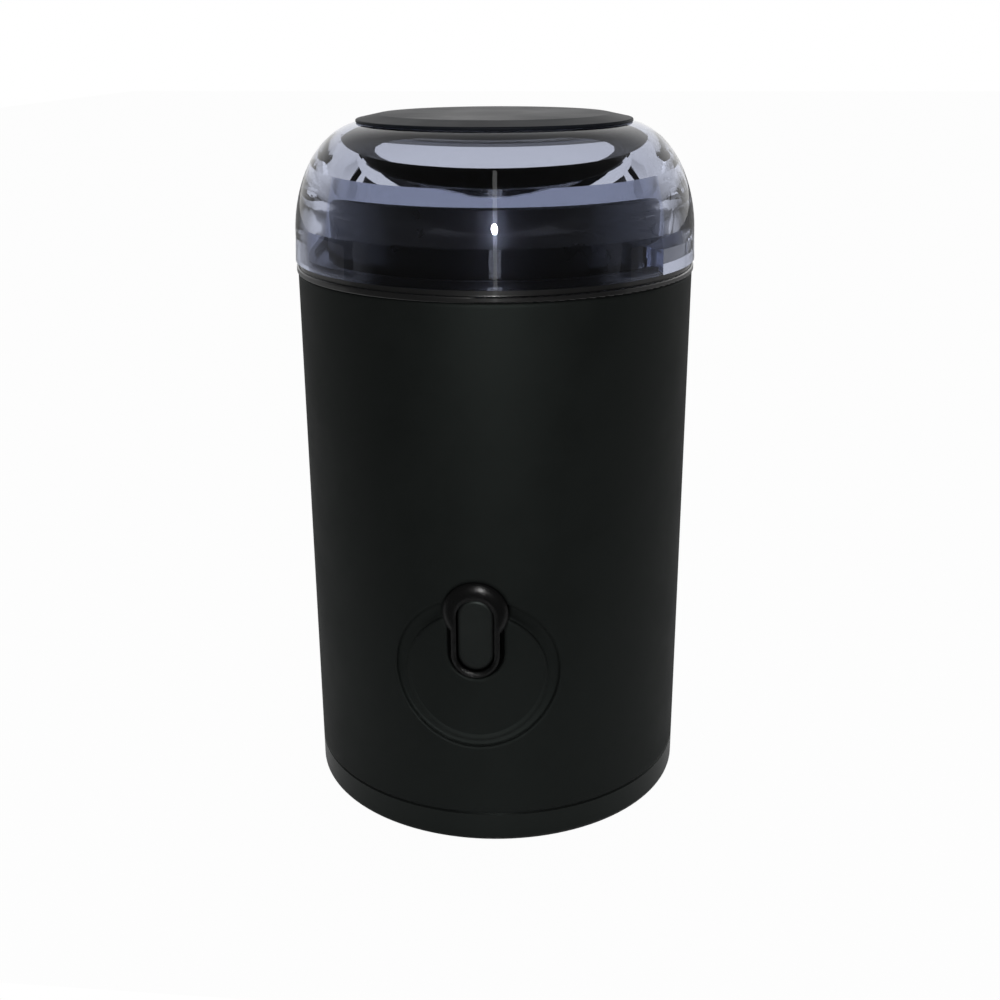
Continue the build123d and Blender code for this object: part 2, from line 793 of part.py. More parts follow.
# Bowl housing
flange_seat = neck_top - sheet
guide_top = collar_top - guide_drop
lid_pin_places = [
    (place, lid_switch_bottom + lid_switch_height / 2)
    for place in (lid_switch_start + lid_switch_pin_place, lid_switch_end - lid_switch_pin_place)
]
with BuildPart() as bowl_housing:
    revolve(
        profile(
            (floor_hole, floor_bottom),
            (neck_radius, floor_bottom),
            (neck_radius, body_top),
            (collar_radius, body_top),
            (collar_radius, collar_top - collar_step_height),
            (collar_radius - collar_step, collar_top - collar_step_height),
            (collar_radius - collar_step, collar_top),
            (neck_radius, collar_top),
            (neck_radius, neck_top),
            (bowl_radius + bowl_flange + fit_gap, neck_top),
            (bowl_radius + bowl_flange + fit_gap, flange_seat),
            (neck_radius - neck_wall, flange_seat),
            (neck_radius - neck_wall, floor_top),
            (floor_hole, floor_top),
        ),
        axis=Axis.Z,
    )
    rims = bowl_housing.edges().filter_by(GeomType.CIRCLE)
    fillet(rims.group_by(SortBy.RADIUS)[-1], radius=collar_round)
    rims = bowl_housing.edges().filter_by(GeomType.CIRCLE)
    fillet(rims.group_by(Axis.Z)[-1].sort_by(SortBy.RADIUS)[-1], radius=neck_round)
    # Skirt inside the body, open where the rod of the interlock runs
    extrude(
        sector(
            body_top - skirt_length,
            spigot_radius - skirt_wall,
            spigot_radius,
            skirt_notch_angle,
            360 - skirt_notch_angle,
        ),
        amount=skirt_length,
    )
    # Rib that centres the lid, open where the lid's tongue stands
    rib_end_angle = tongue_half_angle + rib_gap_angle
    extrude(
        sector(
            collar_top,
            lid_inner - slide_gap - rib_wall,
            lid_inner - slide_gap,
            rib_end_angle,
            360 - rib_end_angle,
        ),
        amount=rib_height,
    )
    # Posts for the screws from the lugs of the body
    extrude(
        circles(lug_top, housing_post_radius, housing_screw_circle, screw_count, screw_start_angle),
        amount=housing_post_length,
    )
    extrude(
        circles(
            lug_top, housing_shank_radius + run_gap, housing_screw_circle, screw_count, screw_start_angle
        ),
        amount=housing_post_length - collar_step_height,
        mode=Mode.SUBTRACT,
    )
    # Posts that carry the motor
    extrude(circles(mount_top, mount_radius, mount_circle, mount_count, 0), amount=mount_post_length)
    extrude(
        circles(mount_top, mount_shank_radius + run_gap, mount_circle, mount_count, 0),
        amount=mount_bite + run_gap,
        mode=Mode.SUBTRACT,
    )
    # Guide and hole for the rod, and the plate with pins for its switch
    with Locations((neck_radius - neck_wall / 2, 0, guide_top - guide_thick)):
        Box(body_inner - slide_gap - neck_radius + neck_wall / 2, guide_width, guide_thick, align=outward)
    with BuildSketch(Plane.XY.offset(guide_top - guide_thick - cut_over)):
        with Locations((rod_circle, 0)):
            Circle(rod_radius + fit_gap)
    extrude(amount=guide_drop + guide_thick + 2 * cut_over, mode=Mode.SUBTRACT)
    with Locations((lid_switch_start, lid_switch_width / 2, lid_switch_bottom)):
        Box(
            neck_radius - lid_switch_start - slide_gap,
            lid_plate_thick,
            floor_bottom - lid_switch_bottom,
            align=Align.MIN,
        )
    with BuildSketch(Plane.XZ.offset(-lid_switch_width / 2)):
        with Locations(lid_pin_places[0]):
            Circle(pin_radius)
    extrude(amount=lid_switch_width)
bowl_housing.part.label = "bowl_housing"
export_step(bowl_housing.part, "parts/bowl_housing.step")

# Housing screws
with BuildPart() as housing_screws:
    extrude(
        circles(
            lug_bottom - housing_head_height,
            housing_head_radius,
            housing_screw_circle,
            screw_count,
            screw_start_angle,
        ),
        amount=housing_head_height,
    )
    extrude(
        circles(lug_bottom, housing_shank_radius, housing_screw_circle, screw_count, screw_start_angle),
        amount=housing_shank_length,
    )
housing_screws.part.label = "housing_screws"
export_step(housing_screws.part, "parts/housing_screws.step")

# Grinding bowl
with BuildPart() as grinding_bowl:
    revolve(
        profile(
            (bowl_radius + bowl_flange, neck_top),
            (bowl_radius + bowl_flange, flange_seat),
            (bowl_radius, flange_seat),
            (bowl_radius, floor_top),
            (bowl_hole, floor_top),
            (bowl_hole, floor_top + bowl_lip),
            (bowl_hole + sheet, floor_top + bowl_lip),
            (bowl_hole + sheet, floor_top + sheet),
            (bowl_inner, floor_top + sheet),
            (bowl_inner, neck_top),
        ),
        axis=Axis.Z,
    )
    rims = grinding_bowl.edges().filter_by(GeomType.CIRCLE).group_by(Axis.Z)
    fillet(rims[0].sort_by(SortBy.RADIUS)[-1], radius=bowl_corner)
    rims = grinding_bowl.edges().filter_by(GeomType.CIRCLE).group_by(Axis.Z)
    fillet(rims[1].sort_by(SortBy.RADIUS)[-1], radius=bowl_corner - sheet)
grinding_bowl.part.label = "grinding_bowl"
export_step(grinding_bowl.part, "parts/grinding_bowl.step")

# Shaft seal in the lip of the bowl, its thin lip close to the shaft
seal_radius = bowl_hole - run_gap
with BuildPart() as shaft_seal:
    revolve(
        profile(
            (shaft_radius + slide_gap + seal_lip, floor_bottom),
            (floor_hole - fit_gap, floor_bottom),
            (floor_hole - fit_gap, floor_top - run_gap),
            (seal_radius, floor_top - run_gap),
            (seal_radius, floor_top + bowl_lip + seal_flange),
            (shaft_radius + fit_gap, floor_top + bowl_lip + seal_flange),
            (shaft_radius + fit_gap, floor_top + bowl_lip),
            (shaft_radius + slide_gap + seal_lip, floor_top + bowl_lip - seal_lip),
        ),
        axis=Axis.Z,
    )
shaft_seal.part.label = "shaft_seal"
export_step(shaft_seal.part, "parts/shaft_seal.step")

# Lid shell: domed outside, thick on top, with a sloped shoulder over the neck and a recess for the cap
with BuildPart() as lid_shell:
    with BuildSketch(Plane.XZ):
        with BuildLine():
            outer_dome = EllipticalCenterArc(
                (dome_centre_radius, dome_base), dome_reach, dome_rise, start_angle=0, arc_size=seat_angle
            )
            Polyline(
                outer_dome @ 1,
                (cap_plug_radius + fit_gap, seat_top),
                (cap_plug_radius + fit_gap, seat_top - recess_depth),
                (0, seat_top - recess_depth),
                (0, ceiling),
                (ceiling_radius, ceiling),
                (neck_radius - shoulder_inset, neck_top + shoulder_rise),
                (lid_inner, lid_bottom + lid_skirt),
                (lid_inner, lid_bottom),
                (lid_radius, lid_bottom),
                outer_dome @ 0,
            )
        make_face()
    revolve(axis=Axis.Z)
    extrude(
        sector(
            lid_bottom,
            lid_inner - tongue_reach,
            lid_inner + lid_wall / 2,
            -tongue_half_angle,
            tongue_half_angle,
        ),
        amount=tongue_height,
    )
lid_shell.part.label = "lid_shell"
export_step(lid_shell.part, "parts/lid_shell.step")

# Lid cap: a plug in the recess under a low bevelled disc
bevel_bottom = cap_bottom + cap_edge
bevel_top = bevel_bottom + cap_bevel_rise
crown_top = bevel_top + cap_crown
plug_bottom = seat_top - recess_depth + seat_gap
with BuildPart() as lid_cap:
    with BuildSketch(Plane.XZ) as cap_section:
        with BuildLine():
            crown = TangentArc((0, crown_top), (cap_flat_radius, bevel_top), tangent=(1, 0))
            Polyline(
                crown @ 1,
                (cap_radius, bevel_bottom),
                (cap_radius, cap_bottom),
                (cap_plug_radius, cap_bottom),
                (cap_plug_radius, plug_bottom),
                (0, plug_bottom),
                crown @ 0,
            )
        make_face()
        fillet(cap_section.vertices().group_by(Axis.X)[-1], radius=cap_round)
    revolve(axis=Axis.Z)
lid_cap.part.label = "lid_cap"
export_step(lid_cap.part, "parts/lid_cap.step")

# Interlock plunger: rod with a collar for its spring and a foot over its switch
rod_collar_top = collar_top - rod_collar_drop
rod_collar_bottom = rod_collar_top - rod_collar_thick
with BuildPart() as interlock_plunger:
    with Locations((rod_circle, 0, rod_foot_bottom)):
        Cylinder(rod_radius, rod_top - rod_foot_bottom, align=upright)
    with Locations((rod_circle, 0, rod_collar_bottom)):
        Cylinder(rod_collar_radius, rod_collar_thick, align=upright)
    with Locations((rod_circle - rod_foot_reach, 0, rod_foot_bottom)):
        Box(rod_foot_reach + rod_foot_toe, rod_foot_width, rod_foot_thick, align=outward)
interlock_plunger.part.label = "interlock_plunger"
export_step(interlock_plunger.part, "parts/interlock_plunger.step")

# Interlock spring, between the guide and the collar of the rod
interlock_spring = coil(
    (rod_circle, 0, guide_top + run_gap),
    (0, 0, 1),
    rod_collar_bottom - guide_top - 2 * run_gap,
    rod_coil_radius,
    rod_wire_radius,
    rod_coil_turns,
)
interlock_spring.label = "interlock_spring"
export_step(interlock_spring, "parts/interlock_spring.step")

# Interlock switch
with BuildPart() as interlock_switch:
    with Locations((lid_switch_start, 0, lid_switch_bottom)):
        Box(lid_switch_length, lid_switch_width, lid_switch_height, align=outward)
    with Locations((lid_switch_end - lid_switch_tip_place, 0, lid_switch_top)):
        Cylinder(lid_switch_tip_radius, lid_switch_tip_height, align=upright)
    with BuildSketch(Plane.XZ.offset(-lid_switch_width / 2)):
        with Locations(*lid_pin_places):
            Circle(pin_radius + run_gap)
    extrude(amount=lid_switch_width, mode=Mode.SUBTRACT)
    with Locations((lid_switch_start + lid_switch_length / 2, 0, lid_switch_bottom)):
        with GridLocations(lid_switch_length / 3, 0, 3, 1):
            Box(tab_thick, tab_width / 2, tab_length, align=(Align.CENTER, Align.CENTER, Align.MAX))
interlock_switch.part.label = "interlock_switch"
export_step(interlock_switch.part, "parts/interlock_switch.step")

# Motor mounts and their screws
with BuildPart() as motor_mounts:
    extrude(circles(plate_top, mount_radius, mount_circle, mount_count, 0), amount=mount_height)
    extrude(
        circles(plate_top, mount_hole, mount_circle, mount_count, 0), amount=mount_height, mode=Mode.SUBTRACT
    )
motor_mounts.part.label = "motor_mounts"
export_step(motor_mounts.part, "parts/motor_mounts.step")

with BuildPart() as mount_screws:
    extrude(
        circles(plate_bottom - mount_head_height, mount_head_radius, mount_circle, mount_count, 0),
        amount=mount_head_height,
    )
    extrude(
        circles(plate_bottom, mount_shank_radius, mount_circle, mount_count, 0),
        amount=motor_plate + mount_height + mount_bite,
    )
mount_screws.part.label = "mount_screws"
export_step(mount_screws.part, "parts/mount_screws.step")

# Brackets of the motor: a plate with a bearing cup and four legs to the stator
corner_places = [(x * bolt_place_x, y * bolt_place_y) for x in (-1, 1) for y in (-1, 1)]
bolt_places = [(bolt_place_x, -bolt_place_y), (-bolt_place_x, bolt_place_y)]
window_middle_angles = (45, 135, 225, 315)


def motor_windows(height):
    """Air windows round the bearing cup, between the arms of a bracket."""
    with BuildSketch(Plane.XY.offset(height)) as windows:
        for middle in window_middle_angles:
            add(sector(0, window_inner, window_outer, middle - window_angle / 2, middle + window_angle / 2))
    return windows.sketch


with BuildPart() as upper_bracket:
    with BuildSketch(Plane.XY.offset(plate_bottom)):
        RectangleRounded(motor_plate_width, motor_plate_depth, motor_plate_round)
    extrude(amount=motor_plate)
    extrude(motor_windows(plate_bottom), amount=motor_plate, mode=Mode.SUBTRACT)
    with Locations((0, 0, upper_cup_top)):
        Cylinder(cup_radius, cup_height, align=(Align.CENTER, Align.CENTER, Align.MAX))
    extrude(circles_at(stator_top, leg_radius, corner_places), amount=upper_leg_length)
    extrude(
        circles_at(stator_top, bolt_radius + fit_gap, bolt_places), amount=body_length, mode=Mode.SUBTRACT
    )
    extrude(
        circles(plate_bottom, mount_shank_radius + fit_gap, mount_circle, mount_count, 0),
        amount=motor_plate,
        mode=Mode.SUBTRACT,
    )
    with Locations((0, 0, upper_cup_top)):
        Cylinder(bearing_radius + run_gap, 2 * cup_height, mode=Mode.SUBTRACT)
upper_bracket.part.label = "upper_bracket"
export_step(upper_bracket.part, "parts/upper_bracket.step")

holder_inner_end = commutator_radius + holder_start
holder_height = brush_height + 2 * holder_wall
holder_bottom = brush_z - holder_height / 2
pedestal_start = holder_inner_end + (holder_length - pedestal_length) / 2
with BuildPart() as lower_bracket:
    with BuildSketch(Plane.XY.offset(lower_plate_bottom)):
        RectangleRounded(motor_plate_width, motor_plate_depth, motor_plate_round)
    extrude(amount=motor_plate)
    with Locations((0, 0, lower_cup_bottom)):
        Cylinder(cup_radius, cup_height, align=upright)
    extrude(circles_at(lower_plate_top, leg_radius, corner_places), amount=lower_leg_length)
    extrude(
        circles_at(lower_plate_bottom, bolt_radius + fit_gap, bolt_places),
        amount=body_length,
        mode=Mode.SUBTRACT,
    )
    with Locations((0, 0, lower_plate_top)):
        with PolarLocations(pedestal_start, 2):
            Box(pedestal_length, pedestal_width, holder_bottom - lower_plate_top, align=outward)
    with Locations((0, 0, lower_cup_top)):
        Cylinder(bearing_radius + run_gap, 2 * cup_height, mode=Mode.SUBTRACT)
lower_bracket.part.label = "lower_bracket"
export_step(lower_bracket.part, "parts/lower_bracket.step")

# Bearings, pressed into the cups
bearing_inset = (cup_height - bearing_height) / 2
upper_bearing_bottom = upper_cup_top - cup_height + bearing_inset
lower_bearing_bottom = lower_cup_bottom + bearing_inset
with BuildPart() as upper_bearing:
    revolve(
        ring(
            shaft_radius + run_gap,
            bearing_radius,
            upper_bearing_bottom,
            upper_bearing_bottom + bearing_height,
        ),
        axis=Axis.Z,
    )
upper_bearing.part.label = "upper_bearing"
export_step(upper_bearing.part, "parts/upper_bearing.step")

with BuildPart() as lower_bearing:
    revolve(
        ring(
            shaft_radius + run_gap,
            bearing_radius,
            lower_bearing_bottom,
            lower_bearing_bottom + bearing_height,
        ),
        axis=Axis.Z,
    )
lower_bearing.part.label = "lower_bearing"
export_step(lower_bearing.part, "parts/lower_bearing.step")

# Stator core with slots at the sides for the coils
with BuildPart() as stator_core:
    with BuildSketch(Plane.XY.offset(stator_bottom)):
        RectangleRounded(stator_width, stator_depth, stator_depth * stator_round_share)
        Circle(stator_bore, mode=Mode.SUBTRACT)
        for middle in (0, 180):
            add(
                sector(
                    0,
                    stator_bore / 2,
                    stator_depth * stator_slot_share,
                    middle - stator_slot_angle,
                    middle + stator_slot_angle,
                ),
                mode=Mode.SUBTRACT,
            )
        with Locations(*bolt_places):
            Circle(bolt_radius + fit_gap, mode=Mode.SUBTRACT)
    extrude(amount=stator_height)
stator_core.part.label = "stator_core"
export_step(stator_core.part, "parts/stator_core.step")

# Field coils: two sides in the slots and an arch over the pole at each end
with BuildPart() as field_coils:
    for middle in (90, 270):
        reach = 90 - coil_inner_angle
        for bottom in (stator_bottom - coil_overhang, stator_top + slide_gap):
            extrude(
                sector(bottom, coil_inner, coil_outer, middle - reach, middle + reach),
                amount=coil_overhang - slide_gap,
            )
        for side in (-1, 1):
            near = middle + side * reach
            far = middle + side * (90 - coil_outer_angle)
            extrude(
                sector(stator_bottom - coil_overhang, coil_inner, coil_outer, min(near, far), max(near, far)),
                amount=stator_height + 2 * coil_overhang,
            )
field_coils.part.label = "field_coils"
export_step(field_coils.part, "parts/field_coils.step")

# Through bolts and nuts
with BuildPart() as motor_bolts:
    extrude(
        circles_at(lower_plate_bottom - bolt_head_height, bolt_head_radius, bolt_places),
        amount=bolt_head_height,
    )
    extrude(
        circles_at(lower_plate_bottom, bolt_radius, bolt_places),
        amount=plate_top + nut_height - lower_plate_bottom,
    )
motor_bolts.part.label = "motor_bolts"
export_step(motor_bolts.part, "parts/motor_bolts.step")

with BuildPart() as motor_nuts:
    with BuildSketch(Plane.XY.offset(plate_top)):
        with Locations(*bolt_places):
            RegularPolygon(nut_radius, 6)
            Circle(bolt_radius + run_gap, mode=Mode.SUBTRACT)
    extrude(amount=nut_height)
motor_nuts.part.label = "motor_nuts"
export_step(motor_nuts.part, "parts/motor_nuts.step")

# Brush holders on their pedestals, brushes and springs, in pairs
holder_width = brush_width + 2 * holder_wall
bore_length = holder_length - holder_wall
with BuildPart() as brush_holders:
    with Locations((0, 0, brush_z)):
        with PolarLocations(holder_inner_end, 2):
            Box(holder_length, holder_width, holder_height, align=(Align.MIN, Align.CENTER, Align.CENTER))
            Box(
                bore_length,
                brush_width + 2 * fit_gap,
                brush_height + 2 * fit_gap,
                align=(Align.MIN, Align.CENTER, Align.CENTER),
                mode=Mode.SUBTRACT,
            )
brush_holders.part.label = "brush_holders"
export_step(brush_holders.part, "parts/brush_holders.step")

brush_end = commutator_radius + brush_length
with BuildPart() as carbon_brushes:
    with Locations((0, 0, brush_z)):
        Box(2 * brush_end, brush_width, brush_height)
        Cylinder(commutator_radius + fit_gap, 2 * brush_height, mode=Mode.SUBTRACT)
carbon_brushes.part.label = "carbon_brushes"
export_step(carbon_brushes.part, "parts/carbon_brushes.step")

brush_spring_length = holder_inner_end + bore_length - brush_end - 2 * run_gap
brush_springs = Part(
    children=[
        coil(
            (side * (brush_end + run_gap), 0, brush_z),
            (side, 0, 0),
            brush_spring_length,
            brush_coil_radius,
            brush_wire_radius,
            brush_coil_turns,
        )
        for side in (-1, 1)
    ]
)
brush_springs.label = "brush_springs"
export_step(brush_springs, "parts/brush_springs.step")

# Motor shaft, from the lower bearing to the blade nut
shaft_bottom = lower_cup_bottom - shaft_foot
shaft_top = blade_bottom + blade_thick + blade_nut_height - blade_nut_round
with BuildPart() as motor_shaft:
    with Locations((0, 0, shaft_bottom)):
        Cylinder(shaft_radius, shaft_top - shaft_bottom, align=upright)
motor_shaft.part.label = "motor_shaft"
export_step(motor_shaft.part, "parts/motor_shaft.step")

# Armature core, slotted, and its windings
on_shaft = shaft_radius + run_gap
with BuildPart() as armature_core:
    with BuildSketch(Plane.XY.offset(stator_bottom)):
        Circle(armature_radius)
        Circle(on_shaft, mode=Mode.SUBTRACT)
        with PolarLocations(armature_radius, armature_slot_count):
            Rectangle(2 * armature_slot_depth, armature_slot_width, mode=Mode.SUBTRACT)
    extrude(amount=stator_height)
armature_core.part.label = "armature_core"
export_step(armature_core.part, "parts/armature_core.step")

with BuildPart() as armature_windings:
    for bottom in (stator_bottom - winding_overhang, stator_top + run_gap):
        revolve(
            ring(winding_core, winding_radius, bottom, bottom + winding_overhang - run_gap),
            axis=Axis.Z,
        )
    ends = armature_windings.edges().filter_by(GeomType.CIRCLE).group_by(SortBy.RADIUS)[-1].sort_by(Axis.Z)
    fillet([ends[0], ends[-1]], radius=winding_round)
    bar_start = armature_radius - armature_slot_depth + run_gap
    with BuildSketch(Plane.XY.offset(stator_bottom - winding_overhang / 2)):
        with PolarLocations(bar_start, armature_slot_count):
            Rectangle(
                winding_radius - bar_start,
                armature_slot_width - 2 * run_gap,
                align=(Align.MIN, Align.CENTER),
            )
    extrude(amount=stator_height + winding_overhang)
armature_windings.part.label = "armature_windings"
export_step(armature_windings.part, "parts/armature_windings.step")

# Commutator, grooved between its bars
with BuildPart() as commutator:
    riser_radius = commutator_radius + commutator_riser
    revolve(
        profile(
            (on_shaft, commutator_bottom),
            (commutator_radius, commutator_bottom),
            (commutator_radius, commutator_top - commutator_riser_height),
            (riser_radius, commutator_top - commutator_riser_height),
            (riser_radius, commutator_top),
            (on_shaft, commutator_top),
        ),
        axis=Axis.Z,
    )
    with BuildSketch(Plane.XY.offset(commutator_bottom)):
        with PolarLocations(riser_radius, armature_slot_count):
            Rectangle(2 * (commutator_riser + commutator_slot_depth), commutator_slot_width)
    extrude(amount=commutator_height, mode=Mode.SUBTRACT)
commutator.part.label = "commutator"
export_step(commutator.part, "parts/commutator.step")

# Cooling fan
with BuildPart() as cooling_fan:
    fan_height = fan_disc + fan_blade_height
    revolve(ring(on_shaft, fan_radius, fan_bottom, fan_bottom + fan_disc), axis=Axis.Z)
    revolve(ring(on_shaft, fan_hub_radius, fan_bottom, fan_bottom + fan_height), axis=Axis.Z)
    with Locations((0, 0, fan_bottom)):
        with PolarLocations(fan_hub_radius - fan_blade_thick, fan_blade_count):
            Box(fan_radius - fan_hub_radius, fan_blade_thick, fan_height, align=outward)
cooling_fan.part.label = "cooling_fan"
export_step(cooling_fan.part, "parts/cooling_fan.step")

# Thrust washers, over the lower bearing and under the upper one
with BuildPart() as thrust_washers:
    for bottom in (lower_cup_top + fit_gap, upper_cup_top - cup_height - fit_gap - washer_thick):
        revolve(ring(on_shaft, washer_radius, bottom, bottom + washer_thick), axis=Axis.Z)
thrust_washers.part.label = "thrust_washers"
export_step(thrust_washers.part, "parts/thrust_washers.step")

# Grinding blade: flat middle, wings bent upward
with BuildPart() as grinding_blade:
    with BuildSketch(Plane.XZ.offset(-blade_width / 2)):
        with BuildLine():
            Polyline(
                (0, blade_bottom),
                (blade_bend, blade_bottom),
                (blade_reach, blade_bottom + blade_lift),
                (blade_reach, blade_bottom + blade_lift + blade_thick),
                (blade_bend, blade_bottom + blade_thick),
                (0, blade_bottom + blade_thick),
                close=True,
            )
        make_face()
        mirror(about=Plane.YZ)
    extrude(amount=blade_width)
    with BuildSketch(Plane.XY.offset(blade_bottom)):
        with BuildLine():
            Polyline(
                (blade_bend, -blade_width / 2),
                (blade_reach, blade_width / 2 - blade_tip_width),
                (blade_reach, blade_width / 2),
                (-blade_bend, blade_width / 2),
                (-blade_reach, blade_tip_width - blade_width / 2),
                (-blade_reach, -blade_width / 2),
                close=True,
            )
        make_face()
    extrude(amount=blade_lift + 2 * blade_thick, mode=Mode.INTERSECT)
    with Locations((0, 0, blade_bottom)):
        Cylinder(on_shaft, 2 * blade_nut_height, mode=Mode.SUBTRACT)
grinding_blade.part.label = "grinding_blade"
export_step(grinding_blade.part, "parts/grinding_blade.step")

# Blade nut, a dome over the end of the shaft
nut_bottom = blade_bottom + blade_thick
with BuildPart() as blade_nut:
    with Locations((0, 0, nut_bottom)):
        Cylinder(blade_nut_radius, blade_nut_height, align=upright)
    fillet(blade_nut.edges().group_by(Axis.Z)[-1], radius=blade_nut_round)
    with Locations((0, 0, nut_bottom)):
        Cylinder(on_shaft, blade_nut_height - blade_nut_round + run_gap, align=upright, mode=Mode.SUBTRACT)
blade_nut.part.label = "blade_nut"
export_step(blade_nut.part, "parts/blade_nut.step")
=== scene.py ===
import json
import math

import bpy
from mathutils import Matrix, Vector

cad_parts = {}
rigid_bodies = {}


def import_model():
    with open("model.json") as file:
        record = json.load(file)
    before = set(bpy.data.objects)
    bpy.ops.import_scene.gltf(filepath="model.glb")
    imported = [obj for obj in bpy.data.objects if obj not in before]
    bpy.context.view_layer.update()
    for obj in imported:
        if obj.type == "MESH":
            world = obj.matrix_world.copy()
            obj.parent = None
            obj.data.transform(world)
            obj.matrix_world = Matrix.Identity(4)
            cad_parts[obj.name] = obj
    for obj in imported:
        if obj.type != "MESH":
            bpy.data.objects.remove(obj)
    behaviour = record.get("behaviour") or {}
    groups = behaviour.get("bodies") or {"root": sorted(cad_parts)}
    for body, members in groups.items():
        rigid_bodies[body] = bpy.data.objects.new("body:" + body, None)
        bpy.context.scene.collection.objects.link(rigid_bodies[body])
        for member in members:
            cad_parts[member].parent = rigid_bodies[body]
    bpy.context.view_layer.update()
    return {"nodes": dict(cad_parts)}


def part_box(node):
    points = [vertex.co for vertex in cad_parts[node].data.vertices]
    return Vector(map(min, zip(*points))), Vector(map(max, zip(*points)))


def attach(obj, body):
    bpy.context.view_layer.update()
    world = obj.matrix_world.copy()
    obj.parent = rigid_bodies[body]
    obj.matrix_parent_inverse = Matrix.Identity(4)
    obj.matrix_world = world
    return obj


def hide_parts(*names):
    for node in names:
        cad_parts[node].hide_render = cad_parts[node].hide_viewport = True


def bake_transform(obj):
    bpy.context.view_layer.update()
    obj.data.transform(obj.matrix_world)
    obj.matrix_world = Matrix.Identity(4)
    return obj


for leftover in list(bpy.data.objects):
    bpy.data.objects.remove(leftover)

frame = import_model()
nodes = frame["nodes"]
scene = bpy.context.scene

# The camera stands this far round from straight in front of the object
camera_turn = math.radians(6.0)

# Every material by its name, which is the name of the record's slot where the record has one
looks = {}


# Node helpers for the materials

def new_material(name):
    looks[name] = bpy.data.materials.new(name)
    looks[name].use_nodes = True
    tree = looks[name].node_tree
    return tree, tree.nodes["Principled BSDF"]


def add(tree, kind, **values):
    node = tree.nodes.new(kind)
    for key, value in values.items():
        setattr(node, key, value)
    return node


def maths(tree, operation, first, second):
    node = add(tree, "ShaderNodeMath", operation=operation)
    for value, socket in zip((first, second), node.inputs):
        if isinstance(value, float):
            socket.default_value = value
        else:
            tree.links.new(value, socket)
    return node.outputs["Value"]


def noise(tree, scale, detail=3.0, rough=0.55, stretch=(1.0, 1.0, 1.0)):
    coords = add(tree, "ShaderNodeTexCoord")
    mapping = add(tree, "ShaderNodeMapping")
    mapping.inputs["Scale"].default_value = stretch
    tree.links.new(coords.outputs["Object"], mapping.inputs["Vector"])
    out = add(tree, "ShaderNodeTexNoise")
    out.inputs["Scale"].default_value = scale
    out.inputs["Detail"].default_value = detail
    out.inputs["Roughness"].default_value = rough
    tree.links.new(mapping.outputs["Vector"], out.inputs["Vector"])
    return out.outputs["Fac"]


def bands(tree, pitch, direction, distortion=0.0):
    pitch_at_scale_one = 0.314
    coords = add(tree, "ShaderNodeTexCoord")
    wave = add(tree, "ShaderNodeTexWave", wave_type="BANDS", bands_direction=direction)
    wave.inputs["Scale"].default_value = pitch_at_scale_one / pitch
    wave.inputs["Distortion"].default_value = distortion
    tree.links.new(coords.outputs["Object"], wave.inputs["Vector"])
    return wave.outputs["Fac"]


def spread(tree, value, low, high, start=0.3, end=0.7):
    node = add(tree, "ShaderNodeMapRange")
    node.inputs["From Min"].default_value = start
    node.inputs["From Max"].default_value = end
    node.inputs["To Min"].default_value = low
    node.inputs["To Max"].default_value = high
    tree.links.new(value, node.inputs["Value"])
    return node.outputs["Result"]


def two_colours(tree, value, dark, light, start=0.35, end=0.65):
    ramp = add(tree, "ShaderNodeValToRGB")
    ramp.color_ramp.elements[0].position = start
    ramp.color_ramp.elements[0].color = (*dark, 1.0)
    ramp.color_ramp.elements[1].position = end
    ramp.color_ramp.elements[1].color = (*light, 1.0)
    tree.links.new(value, ramp.inputs["Fac"])
    return ramp.outputs["Color"]


def tones(tree, value, colour, darker, lighter):
    dark = tuple(part * darker for part in colour)
    light = tuple(part * lighter for part in colour)
    return two_colours(tree, value, dark, light)


def bump(tree, value, strength, depth, before=None):
    node = add(tree, "ShaderNodeBump")
    node.inputs["Strength"].default_value = strength
    node.inputs["Distance"].default_value = depth
    tree.links.new(value, node.inputs["Height"])
    if before is not None:
        tree.links.new(before, node.inputs["Normal"])
    return node.outputs["Normal"]


def dress(tree, shader, colour, rough, normal):
    tree.links.new(colour, shader.inputs["Base Color"])
    tree.links.new(rough, shader.inputs["Roughness"])
    tree.links.new(normal, shader.inputs["Normal"])


# Moulded plastic: fine spark grain, soft patches of gloss and of tone
def plastic(name, colour, rough, swing=0.05, grain=2600.0, depth=0.00001, strength=0.25, specular=0.5,
            tint=(1.0, 1.0, 1.0)):
    tree, shader = new_material(name)
    fine = noise(tree, grain, detail=2.0)
    patch = noise(tree, scale=70.0, detail=4.0)
    dress(tree, shader,
          colour=tones(tree, patch, colour, darker=0.88, lighter=1.14),
          rough=spread(tree, patch, rough - swing, rough + swing),
          normal=bump(tree, fine, strength, depth))
    shader.inputs["Specular IOR Level"].default_value = specular
    shader.inputs["Specular Tint"].default_value = (*tint, 1.0)


# Turned, drawn or cast metal: fine lines along one direction, or an even grain
def metal(name, colour, rough, swing, grain, stretch=(1.0, 1.0, 1.0), depth=0.000008, strength=0.3):
    tree, shader = new_material(name)
    lines = noise(tree, grain, rough=0.6, stretch=stretch)
    patch = noise(tree, scale=90.0)
    dress(tree, shader,
          colour=tones(tree, patch, colour, darker=0.9, lighter=1.08),
          rough=spread(tree, lines, rough - swing, rough + swing),
          normal=bump(tree, lines, strength, depth))
    shader.inputs["Metallic"].default_value = 1.0


# Stacked steel sheets: even lines across the height
def sheets(name, colour, pitch):
    tree, shader = new_material(name)
    patch = noise(tree, scale=160.0, detail=4.0)
    dress(tree, shader,
          colour=tones(tree, patch, colour, darker=0.8, lighter=1.15),
          rough=spread(tree, patch, low=0.34, high=0.5),
          normal=bump(tree, bands(tree, pitch, "Z"), strength=0.5, depth=0.00005))
    shader.inputs["Metallic"].default_value = 0.9


